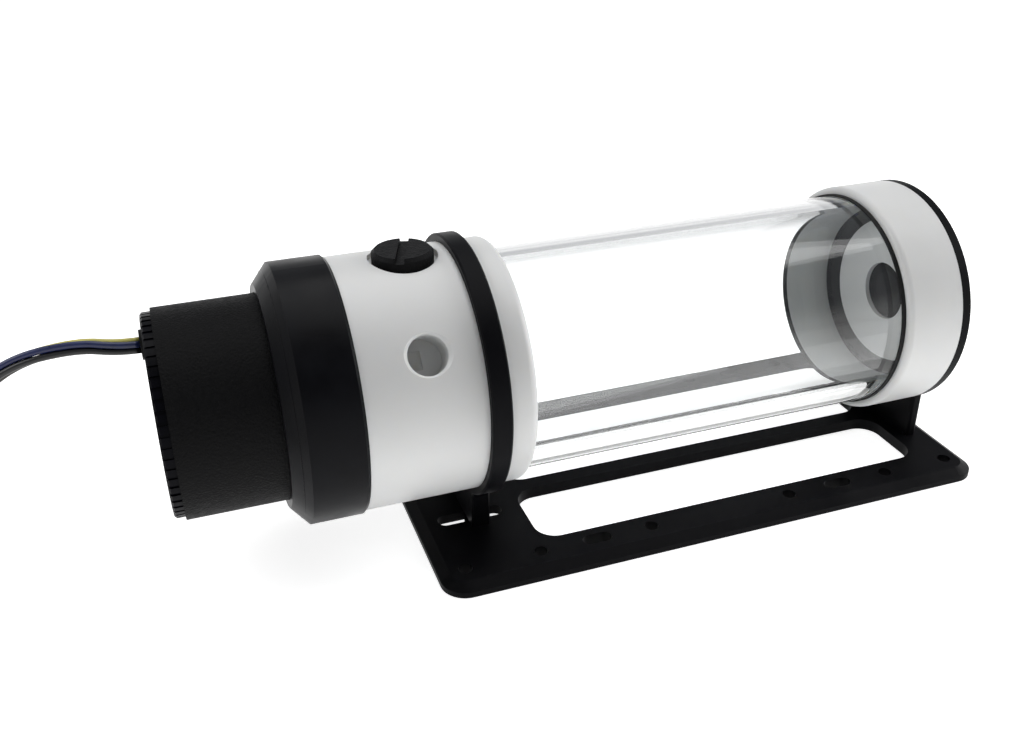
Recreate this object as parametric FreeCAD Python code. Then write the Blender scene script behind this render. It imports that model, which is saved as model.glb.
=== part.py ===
"""Coolant pump reservoir: a glass tube reservoir lying on a slotted stand, with a canned pump at one end.

Millimetres. X runs along the tube from the pump to the end cap, Z is up and Z = 0 is the underside of
the base plate. Places along the tube are stations, measured from the pump's rear face.
"""
import FreeCAD, Part
import math
import os

os.makedirs("parts", exist_ok=True)

# Lengths along the tube, one after another from the pump's rear face
COVER_LENGTH = 3.0
SLEEVE_VISIBLE_LENGTH = 28.7
COLLAR_LENGTH = 20.9
BODY_BARREL_LENGTH = 34.2
RING_THICKNESS = 6.0
LIP_LENGTH = 8.7
GLASS_VISIBLE_LENGTH = 123.8
CAP_LENGTH = 19.7
END_PLATE_THICKNESS = 3.5
LEG_THICKNESS = 4.0
PLATE_OVERHANG = 7.0

# Radii and height of the tube
AXIS_HEIGHT = 53.5
BODY_RADIUS = 38.0
SLEEVE_STEP = 7.5
SLEEVE_WALL = 1.2
COVER_STEP = 1.0
COLLAR_PROUD = 0.8
RING_PROUD = 2.45
LIP_WALL = 2.6
GLASS_WALL = 5.0

# Clearances between mating pieces
SLIP = 0.15
SEAT_GAP = 0.05
BALL_GAP = 0.05
ROTOR_GAP = 0.6

# Screw collar
COLLAR_LIP_LENGTH = 2.8
COLLAR_CHAMFER_LENGTH = 4.8
COLLAR_CHAMFER_DEPTH = 5.7
COLLAR_EDGE = 0.9
NECK_STEP = 1.5

# Pump motor
FLANGE_THICKNESS = 4.2
FLANGE_STEP = 4.8
CAN_WALL = 1.6
MOTOR_ROOM = 7.65
CUP_DEPTH = 17.0
STATOR_LENGTH = 11.0
STATOR_RING = 2.4
TOOTH_WIDTH = 3.0
TOOTH_COUNT = 9
WINDING_THICKNESS = 1.5
BOARD_THICKNESS = 1.6
BOARD_STANDOFF = 2.2
POST_RADIUS = 2.2
BALL_RADIUS = 4.0
ROTOR_LENGTH = 15.0
MAGNET_THICKNESS = 4.4
IMPELLER_RIM = 1.0
IMPELLER_DISC = 2.0
BLADE_HEIGHT = 5.0
BLADE_THICKNESS = 1.6
BLADE_LEAN = 35.0
BLADE_COUNT = 6
SEAL_CORD = 2.0
COVER_NOTCHES = 60
COVER_NOTCH_WIDTH = 1.1
COVER_NOTCH_DEPTH = 0.4
COVER_EDGE = 0.6

# Pump body
VOLUTE_STEP = 4.0
VOLUTE_ROOM = 3.0
INLET_RADIUS = 8.0
BASIN_FLOOR = 9.4
TUBE_BASE_OVERLAP = 3.0
SOCKET_DEPTH = 9.0
TUBE_SEAL_THICKNESS = 1.6
LIP_ROUND = 2.3
GALLERY_RADIUS = 3.4
GALLERY_SINK = 8.5
GALLERY_MOUTH = 6.0

# G1/4 ports and their plugs
PORT_RADIUS = 5.72
THREAD_RADIUS = 6.58
PORT_DEPTH = 10.5
PORT_CHAMFER = 1.1
OUTLET_STATION = 71.9
OUTLET_ANGLE = 34.5
FILL_STATION = 73.6
FILL_SEAT_SINK = 2.0
FILL_SEAT_RADIUS = 10.2
PLUG_HEAD_RADIUS = 9.0
PLUG_HEAD_HEIGHT = 3.6
PLUG_EDGE = 1.0
PLUG_SHANK_LENGTH = 8.0
PLUG_SLOT_WIDTH = 2.6
PLUG_SLOT_DEPTH = 1.3
PLUG_SEAL_RADIUS = 8.0
PLUG_SEAL_HEIGHT = 0.9

# End cap
CAP_FLOOR = 2.6
CAP_SEAL_THICKNESS = 1.2
CAP_SEAL_INNER = 25.0
CAP_LIP_ROUND = 2.0
CAP_HOLE_RADIUS = 9.9
MOUTH_SEAL_WIDTH = 0.5
MOUTH_SEAL_LENGTH = 1.4
END_BOSS_HEIGHT = 1.0
END_SEAL_WIDTH = 2.5
END_SEAL_THICKNESS = 1.0
END_EDGE = 0.5
END_SCREW_COUNT = 3
END_SCREW_CIRCLE = 19.0

# Clamp ring foot and end leg
FOOT_HALF_WIDTH = 16.8
RING_EDGE = 0.5
LEG_HALF_WIDTH = 18.9
FOOT_FILLET = 3.5
LEG_BELOW_AXIS = 15.5
LEG_EDGE = 1.2
LEG_SCREW_SPREAD = 10.0
LEG_SCREW_DROP = 23.5

# Base plate
PLATE_LEFT_STATION = 70.5
PLATE_HALF_WIDTH = 44.4
PLATE_THICKNESS = 4.0
PLATE_SIDE = 1.9
PLATE_BEVEL_RUN = 3.2
PLATE_CORNER = 8.0
WINDOW_LEFT_STATION = 105.0
WINDOW_RIGHT_STATION = 244.3
WINDOW_INNER = 2.85
WINDOW_OUTER = 30.2
WINDOW_CORNER = 7.0
FOOT_SLOT_LEFT = 77.3
FOOT_SLOT_RIGHT = 98.6
FOOT_SLOT_WIDTH = 5.4
FOOT_SLOT_OFFSET = 10.4
HOLE_RADIUS = 2.2
HOLE_ROW = 35.5
HOLE_SPACINGS = (50.0, 124.5, 172.8)
OBLONG_SPACING = 87.0
OBLONG_LENGTH = 9.6
OBLONG_WIDTH = 4.4

# Screws
M4_RADIUS = 2.0
M4_HEAD_RADIUS = 3.6
M4_HEAD_HEIGHT = 1.9
M3_RADIUS = 1.5
M3_HEAD_RADIUS = 2.8
M3_HEAD_HEIGHT = 1.5
END_SCREW_LENGTH = 5.0
FOOT_SCREW_MARGIN = 3.4
SCREW_TIP_ROOM = 0.6
SCREW_SINK = 2.1
KEY_RADIUS = 1.2
KEY_DEPTH = 1.1

# Pump leads: one bundle of four wires, its route as (station, y, z) points, then the spare length wound up
BUNDLE_DIAMETER = 5.0
LEAD_EXIT_Y = 12.0
LEAD_EXIT_RISE = 17.0
LEAD_STRAIGHT = 7.0
BUNDLE_ROUTE = (
    (-18, 13, 73), (-37, 14.5, 70), (-52, 16, 57), (-59, 17, 39),
    (-66, 17.5, 22), (-78, 18, 12.5), (-92, 18, 8), (-106, 18, 8.3),
)
GROMMET_RADIUS = 4.4
GROMMET_RIM = 1.0
GROMMET_PROUD = 1.2
COIL_RADIUS = 28.0
COIL_LAYERS = 2
COIL_ARRIVAL = 18.0
COIL_DEPARTURE = 20.0
TIE_THICKNESS = 0.8
TIE_WIDTH = 3.0
BOOT_LENGTH = 10.0
BOOT_WALL = 0.5
LEAD_PLUG_LENGTH = 17.0
LEAD_PLUG_WIDTH = 20.8
LEAD_PLUG_HEIGHT = 6.4
LEAD_PLUG_KEY = 1.6
LEAD_PLUG_WAYS = 4
LEAD_PLUG_PITCH = 5.08
LEAD_SOCKET_RADIUS = 1.5
LEAD_SOCKET_DEPTH = 9.0

# Stations and sizes that follow from the ones above
COLLAR_START = COVER_LENGTH + SLEEVE_VISIBLE_LENGTH
BODY_START = COLLAR_START + COLLAR_LENGTH
RING_START = BODY_START + BODY_BARREL_LENGTH
LIP_START = RING_START + RING_THICKNESS
RING_MIDDLE = (RING_START + LIP_START) / 2
GLASS_START = LIP_START + LIP_LENGTH
CAP_START = GLASS_START + GLASS_VISIBLE_LENGTH
END_PLATE_START = CAP_START + CAP_LENGTH
LEG_START = END_PLATE_START + END_PLATE_THICKNESS
LEG_END = LEG_START + LEG_THICKNESS
LEG_MIDDLE = (LEG_START + LEG_END) / 2
PLATE_END = LEG_END + PLATE_OVERHANG
PLATE_CENTRE = (PLATE_LEFT_STATION + PLATE_END) / 2
ORIGIN_STATION = PLATE_END / 2

FLANGE_START = COLLAR_START + COLLAR_LIP_LENGTH
NECK_START = FLANGE_START + FLANGE_THICKNESS
NECK_RADIUS = BODY_RADIUS - NECK_STEP
COLLAR_RADIUS = BODY_RADIUS + COLLAR_PROUD
SLEEVE_RADIUS = BODY_RADIUS - SLEEVE_STEP
COVER_RADIUS = SLEEVE_RADIUS - COVER_STEP
CAN_RADIUS = SLEEVE_RADIUS - SLEEVE_WALL - SEAT_GAP
CAN_INNER = CAN_RADIUS - CAN_WALL
FLANGE_RADIUS = CAN_RADIUS + FLANGE_STEP
INSERT_RADIUS = FLANGE_RADIUS - SEAT_GAP
CUP_RADIUS = CAN_INNER - MOTOR_ROOM
CUP_FLOOR = NECK_START - CUP_DEPTH
CUP_OUTER = CUP_RADIUS + CAN_WALL
MOTOR_ROOM_END = FLANGE_START - CAN_WALL
STATOR_END = MOTOR_ROOM_END - SEAT_GAP - WINDING_THICKNESS
STATOR_START = STATOR_END - STATOR_LENGTH
BALL_STATION = CUP_FLOOR + CUP_DEPTH / 2
DISC_START = NECK_START + ROTOR_GAP
DISC_END = DISC_START + IMPELLER_DISC
ROTOR_START = DISC_START - ROTOR_LENGTH
MAGNET_RADIUS = CUP_RADIUS - ROTOR_GAP
IMPELLER_RADIUS = CUP_RADIUS + IMPELLER_RIM
VOLUTE_RADIUS = IMPELLER_RADIUS + VOLUTE_STEP
VOLUTE_END = DISC_END + BLADE_HEIGHT + VOLUTE_ROOM
BASIN_RADIUS = VOLUTE_RADIUS
BASIN_START = BODY_START + BASIN_FLOOR
FLANGE_SEAL_RADIUS = (FLANGE_RADIUS + VOLUTE_RADIUS) / 2

RING_RADIUS = BODY_RADIUS + RING_PROUD
GLASS_SOCKET_RADIUS = BODY_RADIUS - LIP_WALL
GLASS_RADIUS = GLASS_SOCKET_RADIUS - SLIP
GLASS_INNER = GLASS_RADIUS - GLASS_WALL
TUBE_BASE_START = LIP_START - TUBE_BASE_OVERLAP
SOCKET_FLOOR = GLASS_START - SOCKET_DEPTH
TUBE_START = SOCKET_FLOOR + TUBE_SEAL_THICKNESS
TUBE_END = END_PLATE_START - CAP_FLOOR
CAP_SEAL_END = TUBE_END + CAP_SEAL_THICKNESS
FILL_SEAT_Z = AXIS_HEIGHT + BODY_RADIUS - FILL_SEAT_SINK
LEG_TOP = AXIS_HEIGHT - LEG_BELOW_AXIS
LEG_SCREW_HEIGHT = AXIS_HEIGHT - LEG_SCREW_DROP
FOOT_SCREW_LENGTH = AXIS_HEIGHT - BODY_RADIUS - SCREW_SINK - FOOT_SCREW_MARGIN
FOOT_THREAD_TOP = SCREW_SINK + FOOT_SCREW_LENGTH + SCREW_TIP_ROOM
LEAD_EXIT_Z = AXIS_HEIGHT + LEAD_EXIT_RISE
COIL_BASE = TIE_THICKNESS
COIL_TOP = COIL_BASE + COIL_LAYERS * BUNDLE_DIAMETER
LOWER_TURN_Z = COIL_BASE + BUNDLE_DIAMETER / 2

X_AXIS = FreeCAD.Vector(1, 0, 0)
Y_AXIS = FreeCAD.Vector(0, 1, 0)
Z_AXIS = FreeCAD.Vector(0, 0, 1)
OVERCUT = 1.0


def at(station, y=0.0, z=AXIS_HEIGHT):
    return FreeCAD.Vector(station - ORIGIN_STATION, y, z)


def rod(start, end, radius, y=0.0, z=AXIS_HEIGHT):
    """A cylinder along the tube between two stations, on the tube's axis unless y and z say otherwise."""
    return Part.makeCylinder(radius, end - start, at(start, y, z), X_AXIS)


def pipe(start, end, outer, inner):
    return rod(start, end, outer).cut(rod(start - OVERCUT, end + OVERCUT, inner))


def post(radius, low, high, station=ORIGIN_STATION, y=0.0):
    """An upright cylinder between two heights."""
    return Part.makeCylinder(radius, high - low, at(station, y, low), Z_AXIS)


def block(start, end, near, far, low, high):
    return Part.makeBox(end - start, far - near, high - low, at(start, near, low))


def radial_block(start, end, width, inner, outer):
    """A block that stands up from the tube's axis, between two distances from it."""
    return block(start, end, -width / 2, width / 2, AXIS_HEIGHT + inner, AXIS_HEIGHT + outer)


def turned(profile):
    """A solid of revolution about the tube's axis from (station, radius) points."""
    points = [at(station, 0, AXIS_HEIGHT + radius) for station, radius in profile]
    face = Part.Face(Part.makePolygon(points + points[:1]))
    return face.revolve(at(0), X_AXIS, 360)


def tipped(shape, angle):
    """A copy of an upright shape turned about the tube's axis: 90 leaves it up, 0 points it level to -Y."""
    copy = shape.copy()
    copy.rotate(at(0), X_AXIS, 90 - angle)
    return copy


def ringed(shape, count, first_angle=90.0):
    return [tipped(shape, first_angle + 360 * i / count) for i in range(count)]


def joined(shapes):
    return shapes[0].multiFuse(shapes[1:]).removeSplitter()


def cut_all(shape, cutters):
    for cutter in cutters:
        shape = shape.cut(cutter)
    return shape


def is_circle(edge, station, radius):
    """Whether an edge is the circle of this radius round the tube's axis at this station."""
    curve = edge.Curve
    if not isinstance(curve, Part.Circle):
        return False
    off_axis = math.hypot(curve.Center.y, curve.Center.z - AXIS_HEIGHT)
    off_station = abs(curve.Center.x - at(station).x)
    return max(off_axis, off_station, abs(curve.Radius - radius)) < 0.001


def rim(shape, station, radius):
    return [edge for edge in shape.Edges if is_circle(edge, station, radius)]


def upright_edges(shape):
    return [edge for edge in shape.Edges if abs(edge.tangentAt(edge.FirstParameter).z) > 0.99]


def rounded_block(start, end, near, far, low, high, corner):
    box = block(start, end, near, far, low, high)
    return box.makeFillet(corner, upright_edges(box))


def oblong(start, end, width, y, low, high):
    """A slot's cutter along the tube, with round ends."""
    radius = width / 2
    middle = block(start + radius, end - radius, y - radius, y + radius, low, high)
    ends = [post(radius, low, high, station, y) for station in (start + radius, end - radius)]
    return joined([middle] + ends)


def o_ring(station, radius):
    return Part.makeTorus(radius, SEAL_CORD / 2, at(station), X_AXIS)


def o_ring_groove(station, radius):
    half = SEAL_CORD / 2 + SEAT_GAP
    return pipe(station - half, station + half, radius + half, radius - half)


def socket_screws(shanks, heads, keys):
    screws = [joined([shank, head]).cut(key) for shank, head, key in zip(shanks, heads, keys)]
    return Part.makeCompound(screws)


# Pump


def lead_exit_rod(start, end, radius):
    return rod(start, end, radius, LEAD_EXIT_Y, LEAD_EXIT_Z)


def make_rear_cover():
    disc = rod(0, COVER_LENGTH, COVER_RADIUS)
    disc = disc.makeChamfer(COVER_EDGE, rim(disc, 0, COVER_RADIUS))
    notch_floor = COVER_RADIUS - COVER_NOTCH_DEPTH
    notch = radial_block(-OVERCUT, COVER_LENGTH + OVERCUT, COVER_NOTCH_WIDTH, notch_floor, SLEEVE_RADIUS)
    lead_hole = lead_exit_rod(-OVERCUT, COVER_LENGTH + OVERCUT, GROMMET_RADIUS - GROMMET_RIM)
    return cut_all(disc, ringed(notch, COVER_NOTCHES) + [lead_hole])


def make_sleeve():
    return pipe(COVER_LENGTH, FLANGE_START, SLEEVE_RADIUS, SLEEVE_RADIUS - SLEEVE_WALL)


def make_motor_housing():
    """Plastic can with its clamping flange and the cup that the rotor turns in, open at the rear."""
    can = rod(COVER_LENGTH, FLANGE_START, CAN_RADIUS)
    flange = rod(FLANGE_START, NECK_START, FLANGE_RADIUS)
    cup = rod(CUP_FLOOR, NECK_START + OVERCUT, CUP_RADIUS)
    motor_room = pipe(COVER_LENGTH - OVERCUT, MOTOR_ROOM_END, CAN_INNER, CUP_OUTER)
    board_room = rod(COVER_LENGTH - OVERCUT, CUP_FLOOR - CAN_WALL, CAN_INNER)
    return cut_all(joined([can, flange]), [cup, motor_room, board_room])


def make_stator():
    """Laminated ring with teeth that point in at the cup."""
    outer = CAN_INNER - SEAT_GAP
    ring = pipe(STATOR_START, STATOR_END, outer, outer - STATOR_RING)
    tooth = radial_block(STATOR_START, STATOR_END, TOOTH_WIDTH, CUP_OUTER + SLIP, outer - STATOR_RING / 2)
    return joined([ring] + ringed(tooth, TOOTH_COUNT))


def make_windings():
    """One flat coil round each tooth, its outer corners just inside the stator's ring."""
    inner = CUP_OUTER + 2 * SLIP
    wrap = WINDING_THICKNESS
    width = TOOTH_WIDTH + 2 * wrap
    ring_inner = CAN_INNER - SEAT_GAP - STATOR_RING
    outer = math.sqrt((ring_inner - SLIP) ** 2 - (width / 2) ** 2)
    loop = radial_block(STATOR_START - wrap, STATOR_END + wrap, width, inner, outer)
    hole_end = STATOR_END + SEAT_GAP
    hole = radial_block(STATOR_START - SEAT_GAP, hole_end, TOOTH_WIDTH + 2 * SEAT_GAP, 0, SLEEVE_RADIUS)
    return Part.makeCompound(ringed(loop.cut(hole), TOOTH_COUNT))


def make_circuit_board():
    start = COVER_LENGTH + BOARD_STANDOFF
    board = rod(start, start + BOARD_THICKNESS, CAN_INNER - SEAT_GAP)
    return board.cut(lead_exit_rod(0, FLANGE_START, BUNDLE_DIAMETER / 2))


def make_ball_post():
    stem = rod(CUP_FLOOR, BALL_STATION, POST_RADIUS)
    return joined([stem, Part.makeSphere(BALL_RADIUS, at(BALL_STATION))])


def make_impeller():
    """Hub that turns on the ball, with the disc and its leaning blades on the front."""
    hub = rod(ROTOR_START, DISC_START, MAGNET_RADIUS - MAGNET_THICKNESS - SEAT_GAP)
    disc = rod(DISC_START, DISC_END, IMPELLER_RADIUS)
    blade = radial_block(DISC_END, DISC_END + BLADE_HEIGHT, BLADE_THICKNESS, 0, 2 * IMPELLER_RADIUS)
    blade.rotate(at(DISC_END), X_AXIS, -BLADE_LEAN)
    blade.translate(FreeCAD.Vector(0, 0, INLET_RADIUS - BLADE_THICKNESS))
    trim = rod(DISC_END, DISC_END + BLADE_HEIGHT, IMPELLER_RADIUS)
    blades = ringed(blade.common(trim), BLADE_COUNT)
    ball_bore = rod(ROTOR_START - OVERCUT, BALL_STATION, BALL_RADIUS + BALL_GAP)
    ball_seat = Part.makeSphere(BALL_RADIUS + BALL_GAP, at(BALL_STATION))
    return cut_all(joined([hub, disc] + blades), [ball_bore, ball_seat])


def make_magnet():
    return pipe(ROTOR_START, DISC_START, MAGNET_RADIUS, MAGNET_RADIUS - MAGNET_THICKNESS)


def make_collar():
    """Screw collar: its lip pulls the motor's flange against the neck of the body."""
    lip_hole = SLEEVE_RADIUS + SLIP
    inner = NECK_RADIUS + SEAT_GAP
    return turned((
        (COLLAR_START, lip_hole),
        (COLLAR_START, COLLAR_RADIUS - COLLAR_CHAMFER_DEPTH),
        (COLLAR_START + COLLAR_CHAMFER_LENGTH, COLLAR_RADIUS),
        (BODY_START - COLLAR_EDGE, COLLAR_RADIUS),
        (BODY_START, COLLAR_RADIUS - COLLAR_EDGE),
        (BODY_START, inner),
        (FLANGE_START, inner),
        (FLANGE_START, lip_hole),
    ))


# Pump body and the glass


def make_volute_insert():
    """Acetal disc in the body's neck: the volute, the inlet to the impeller and the start of the gallery."""
    disc = rod(NECK_START, BODY_START, INSERT_RADIUS)
    volute = rod(NECK_START - OVERCUT, VOLUTE_END, VOLUTE_RADIUS)
    inlet = rod(VOLUTE_END - OVERCUT, BODY_START + OVERCUT, INLET_RADIUS)
    seal_groove = o_ring_groove(NECK_START + SEAL_CORD / 2, FLANGE_SEAL_RADIUS)
    return cut_all(disc, [volute, inlet, seal_groove, gallery_cutter(), gallery_mouth_cutter()])


def make_pump_body():
    """Acetal pump top: neck, barrel with the outlet port and fill port, and the basin."""
    neck_bore = INSERT_RADIUS + SEAT_GAP
    barrel = turned((
        (NECK_START, neck_bore),
        (NECK_START, NECK_RADIUS),
        (BODY_START, NECK_RADIUS),
        (BODY_START, BODY_RADIUS),
        (TUBE_BASE_START, BODY_RADIUS),
        (TUBE_BASE_START, BASIN_RADIUS),
        (BASIN_START, BASIN_RADIUS),
        (BASIN_START, INLET_RADIUS),
        (BODY_START, INLET_RADIUS),
        (BODY_START, neck_bore),
    ))
    return cut_all(barrel, outlet_port_cutters() + [gallery_cutter()] + fill_cutters())


def make_tube_base():
    """Acetal ring bonded to the body under the clamp ring: the socket for the glass, with a rounded lip."""
    ring = turned((
        (TUBE_BASE_START, BASIN_RADIUS),
        (TUBE_BASE_START, BODY_RADIUS),
        (GLASS_START, BODY_RADIUS),
        (GLASS_START, GLASS_SOCKET_RADIUS),
        (SOCKET_FLOOR, GLASS_SOCKET_RADIUS),
        (SOCKET_FLOOR, BASIN_RADIUS),
    ))
    return ring.makeFillet(min(LIP_ROUND, 0.9 * LIP_WALL), rim(ring, GLASS_START, BODY_RADIUS))


def outlet_port_cutters():
    """The blind port on the near side and the chamfer round its mouth."""
    face = AXIS_HEIGHT + BODY_RADIUS
    port = post(PORT_RADIUS, face - PORT_DEPTH, face + OVERCUT, OUTLET_STATION)
    mouth = at(OUTLET_STATION, 0, face - PORT_CHAMFER)
    flare = Part.makeCone(PORT_RADIUS, PORT_RADIUS + 2 * PORT_CHAMFER, 2 * PORT_CHAMFER, mouth, Z_AXIS)
    return [tipped(port, OUTLET_ANGLE), tipped(flare, OUTLET_ANGLE)]


def gallery_cutter():
    """The passage along the tube from the volute's rim to the outlet port."""
    height = AXIS_HEIGHT + BODY_RADIUS - GALLERY_SINK
    return tipped(rod(VOLUTE_END - GALLERY_MOUTH, OUTLET_STATION, GALLERY_RADIUS, 0, height), OUTLET_ANGLE)


def gallery_mouth_cutter():
    height = AXIS_HEIGHT + VOLUTE_RADIUS
    return tipped(rod(VOLUTE_END - GALLERY_MOUTH, VOLUTE_END, GALLERY_RADIUS, 0, height), OUTLET_ANGLE)


def fill_cutters():
    above = FILL_SEAT_Z + PLUG_HEAD_HEIGHT
    thread = post(THREAD_RADIUS + SEAT_GAP, AXIS_HEIGHT, above, FILL_STATION)
    seat = post(FILL_SEAT_RADIUS, FILL_SEAT_Z, above, FILL_STATION)
    return [thread, seat]


def make_plug(shank_length):
    """Slotted stop plug standing on a seat at height zero, with a pocket for its seal under the head."""
    head = post(PLUG_HEAD_RADIUS, 0, PLUG_HEAD_HEIGHT)
    top_edge = [edge for edge in head.Edges if edge.BoundBox.ZMin > PLUG_HEAD_HEIGHT / 2]
    head = head.makeChamfer(PLUG_EDGE, top_edge)
    pocket = post(PLUG_SEAL_RADIUS + SEAT_GAP, -OVERCUT, PLUG_SEAL_HEIGHT)
    shank = post(THREAD_RADIUS, -shank_length, PLUG_HEAD_HEIGHT - PLUG_SLOT_DEPTH)
    half = PLUG_SLOT_WIDTH / 2
    slot = block(
        ORIGIN_STATION - half, ORIGIN_STATION + half, -PLUG_HEAD_RADIUS, PLUG_HEAD_RADIUS,
        PLUG_HEAD_HEIGHT - PLUG_SLOT_DEPTH, PLUG_HEAD_HEIGHT + OVERCUT)
    return joined([head.cut(pocket), shank]).cut(slot)


def make_plug_seal():
    ring = post(PLUG_SEAL_RADIUS, 0, PLUG_SEAL_HEIGHT)
    return ring.cut(post(THREAD_RADIUS + SEAT_GAP, -OVERCUT, PLUG_SEAL_HEIGHT + OVERCUT))


def in_fill_port(shape):
    copy = shape.copy()
    copy.translate(at(FILL_STATION, 0, FILL_SEAT_Z))
    return copy


def in_end_cap(shape):
    """Turn an upright piece to face out of the end cap."""
    copy = shape.copy()
    copy.rotate(FreeCAD.Vector(0, 0, 0), Y_AXIS, 90)
    copy.translate(at(LEG_START))
    return copy


def make_glass_tube():
    return pipe(TUBE_START, TUBE_END, GLASS_RADIUS, GLASS_INNER)


def make_tube_seal():
    return pipe(SOCKET_FLOOR, TUBE_START, GLASS_RADIUS, BASIN_RADIUS)


# End cap


def end_screw_rods(start, end, radius):
    return ringed(rod(start, end, radius, 0, AXIS_HEIGHT + END_SCREW_CIRCLE), END_SCREW_COUNT)


def leg_screw_rods(start, end, radius):
    return [rod(start, end, radius, y, LEG_SCREW_HEIGHT) for y in (-LEG_SCREW_SPREAD, LEG_SCREW_SPREAD)]


def make_end_cap():
    """Acetal cup over the glass. Its floor fills the washer seal's hole and takes the end plate's boss."""
    shell = turned((
        (CAP_START, GLASS_SOCKET_RADIUS),
        (CAP_START, BODY_RADIUS),
        (END_PLATE_START, BODY_RADIUS),
        (END_PLATE_START, CAP_HOLE_RADIUS),
        (TUBE_END, CAP_HOLE_RADIUS),
        (TUBE_END, CAP_SEAL_INNER),
        (CAP_SEAL_END, CAP_SEAL_INNER),
        (CAP_SEAL_END, GLASS_SOCKET_RADIUS),
    ))
    shell = shell.makeFillet(CAP_LIP_ROUND, rim(shell, CAP_START, BODY_RADIUS))
    above = END_PLATE_START + OVERCUT
    seal_room = rod(END_PLATE_START - END_SEAL_THICKNESS, above, CAP_HOLE_RADIUS + END_SEAL_WIDTH + SEAT_GAP)
    screw_tip = LEG_START - END_SCREW_LENGTH - SCREW_TIP_ROOM
    return cut_all(shell, [seal_room] + end_screw_rods(screw_tip, above, M3_RADIUS + SEAT_GAP))


def make_cap_seal():
    """Flat washer between the cap's floor and the end of the glass."""
    return pipe(TUBE_END, CAP_SEAL_END, GLASS_RADIUS, CAP_SEAL_INNER + SEAT_GAP)


def make_mouth_seal():
    """Thin band round the glass, against the cap's lip."""
    inner = GLASS_RADIUS + SEAT_GAP
    return pipe(CAP_START - MOUTH_SEAL_LENGTH, CAP_START, inner + MOUTH_SEAL_WIDTH, inner)


def make_end_seal():
    """Washer in the cap's outer face, round the end plate's boss."""
    start = END_PLATE_START - END_SEAL_THICKNESS
    return pipe(start, END_PLATE_START, CAP_HOLE_RADIUS + END_SEAL_WIDTH, CAP_HOLE_RADIUS)


def make_end_plate():
    """Disc on the cap's outer face, its boss in the cap's hole, with the threaded port and its stop plug."""
    disc = rod(END_PLATE_START, LEG_START, BODY_RADIUS)
    disc = disc.makeChamfer(END_EDGE, rim(disc, LEG_START, BODY_RADIUS))
    boss_face = END_PLATE_START - END_BOSS_HEIGHT
    boss = rod(boss_face, END_PLATE_START, CAP_HOLE_RADIUS - SEAT_GAP)
    below = boss_face - OVERCUT
    above = LEG_START + OVERCUT
    thread = rod(below, above, THREAD_RADIUS + SEAT_GAP)
    holes = end_screw_rods(below, above, M3_RADIUS + SLIP)
    sinks = end_screw_rods(LEG_START - M3_HEAD_HEIGHT - SEAT_GAP, above, M3_HEAD_RADIUS + SLIP)
    leg_holes = leg_screw_rods(below, above, M4_RADIUS + SEAT_GAP)
    return cut_all(joined([disc, boss]), [thread] + holes + sinks + leg_holes)


def make_end_plate_screws():
    """Socket screws with their heads sunk flush in the end plate."""
    face = LEG_START - SEAT_GAP
    under_head = face - M3_HEAD_HEIGHT
    shanks = end_screw_rods(LEG_START - END_SCREW_LENGTH, under_head, M3_RADIUS)
    heads = end_screw_rods(under_head, face, M3_HEAD_RADIUS)
    keys = end_screw_rods(face - KEY_DEPTH, face + OVERCUT, KEY_RADIUS)
    return socket_screws(shanks, heads, keys)


# Stand


def foot_corners(ring):
    """The inner corners where the foot's sides meet the clamp ring."""
    height = AXIS_HEIGHT - math.sqrt(RING_RADIUS ** 2 - FOOT_HALF_WIDTH ** 2)
    corners = []
    for edge in ring.Edges:
        middle = edge.CenterOfMass
        off = max(abs(abs(middle.y) - FOOT_HALF_WIDTH), abs(middle.z - height))
        if off < 0.01 and edge.BoundBox.XLength > RING_THICKNESS / 2:
            corners.append(edge)
    return corners


def make_clamp_ring():
    """Ring round the body and the foot that carries it, cut from one plate."""
    disc = rod(RING_START, LIP_START, RING_RADIUS)
    foot = block(RING_START, LIP_START, -FOOT_HALF_WIDTH, FOOT_HALF_WIDTH, PLATE_THICKNESS, AXIS_HEIGHT)
    ring = joined([disc, foot])
    ring = ring.makeFillet(FOOT_FILLET, foot_corners(ring))
    ring = ring.makeChamfer(RING_EDGE, rim(ring, RING_START, RING_RADIUS) + rim(ring, LIP_START, RING_RADIUS))
    bore = rod(RING_START - OVERCUT, LIP_START + OVERCUT, BODY_RADIUS + SEAT_GAP)
    sides = (-FOOT_SLOT_OFFSET, FOOT_SLOT_OFFSET)
    threads = [post(M4_RADIUS + SEAT_GAP, 0, FOOT_THREAD_TOP, RING_MIDDLE, y) for y in sides]
    return cut_all(ring, [bore] + threads)


def make_end_leg():
    """Upright strip on the end plate's outer face, standing on the base plate."""
    strip = rounded_block(
        LEG_START, LEG_END, -LEG_HALF_WIDTH, LEG_HALF_WIDTH, PLATE_THICKNESS, LEG_TOP, LEG_EDGE)
    side_holes = leg_screw_rods(LEG_START - OVERCUT, LEG_END + OVERCUT, M4_RADIUS + SLIP)
    sides = (-LEG_SCREW_SPREAD, LEG_SCREW_SPREAD)
    threads = [post(M3_RADIUS + SEAT_GAP, 0, FOOT_THREAD_TOP, LEG_MIDDLE, y) for y in sides]
    return cut_all(strip, side_holes + threads)


def make_end_leg_screws():
    """Button head screws through the leg into the end plate."""
    face = LEG_END + M4_HEAD_HEIGHT
    shanks = leg_screw_rods(END_PLATE_START + SEAT_GAP, LEG_END, M4_RADIUS)
    heads = leg_screw_rods(LEG_END, face, M4_HEAD_RADIUS)
    keys = leg_screw_rods(face - KEY_DEPTH, face + OVERCUT, KEY_RADIUS)
    return socket_screws(shanks, heads, keys)


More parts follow.
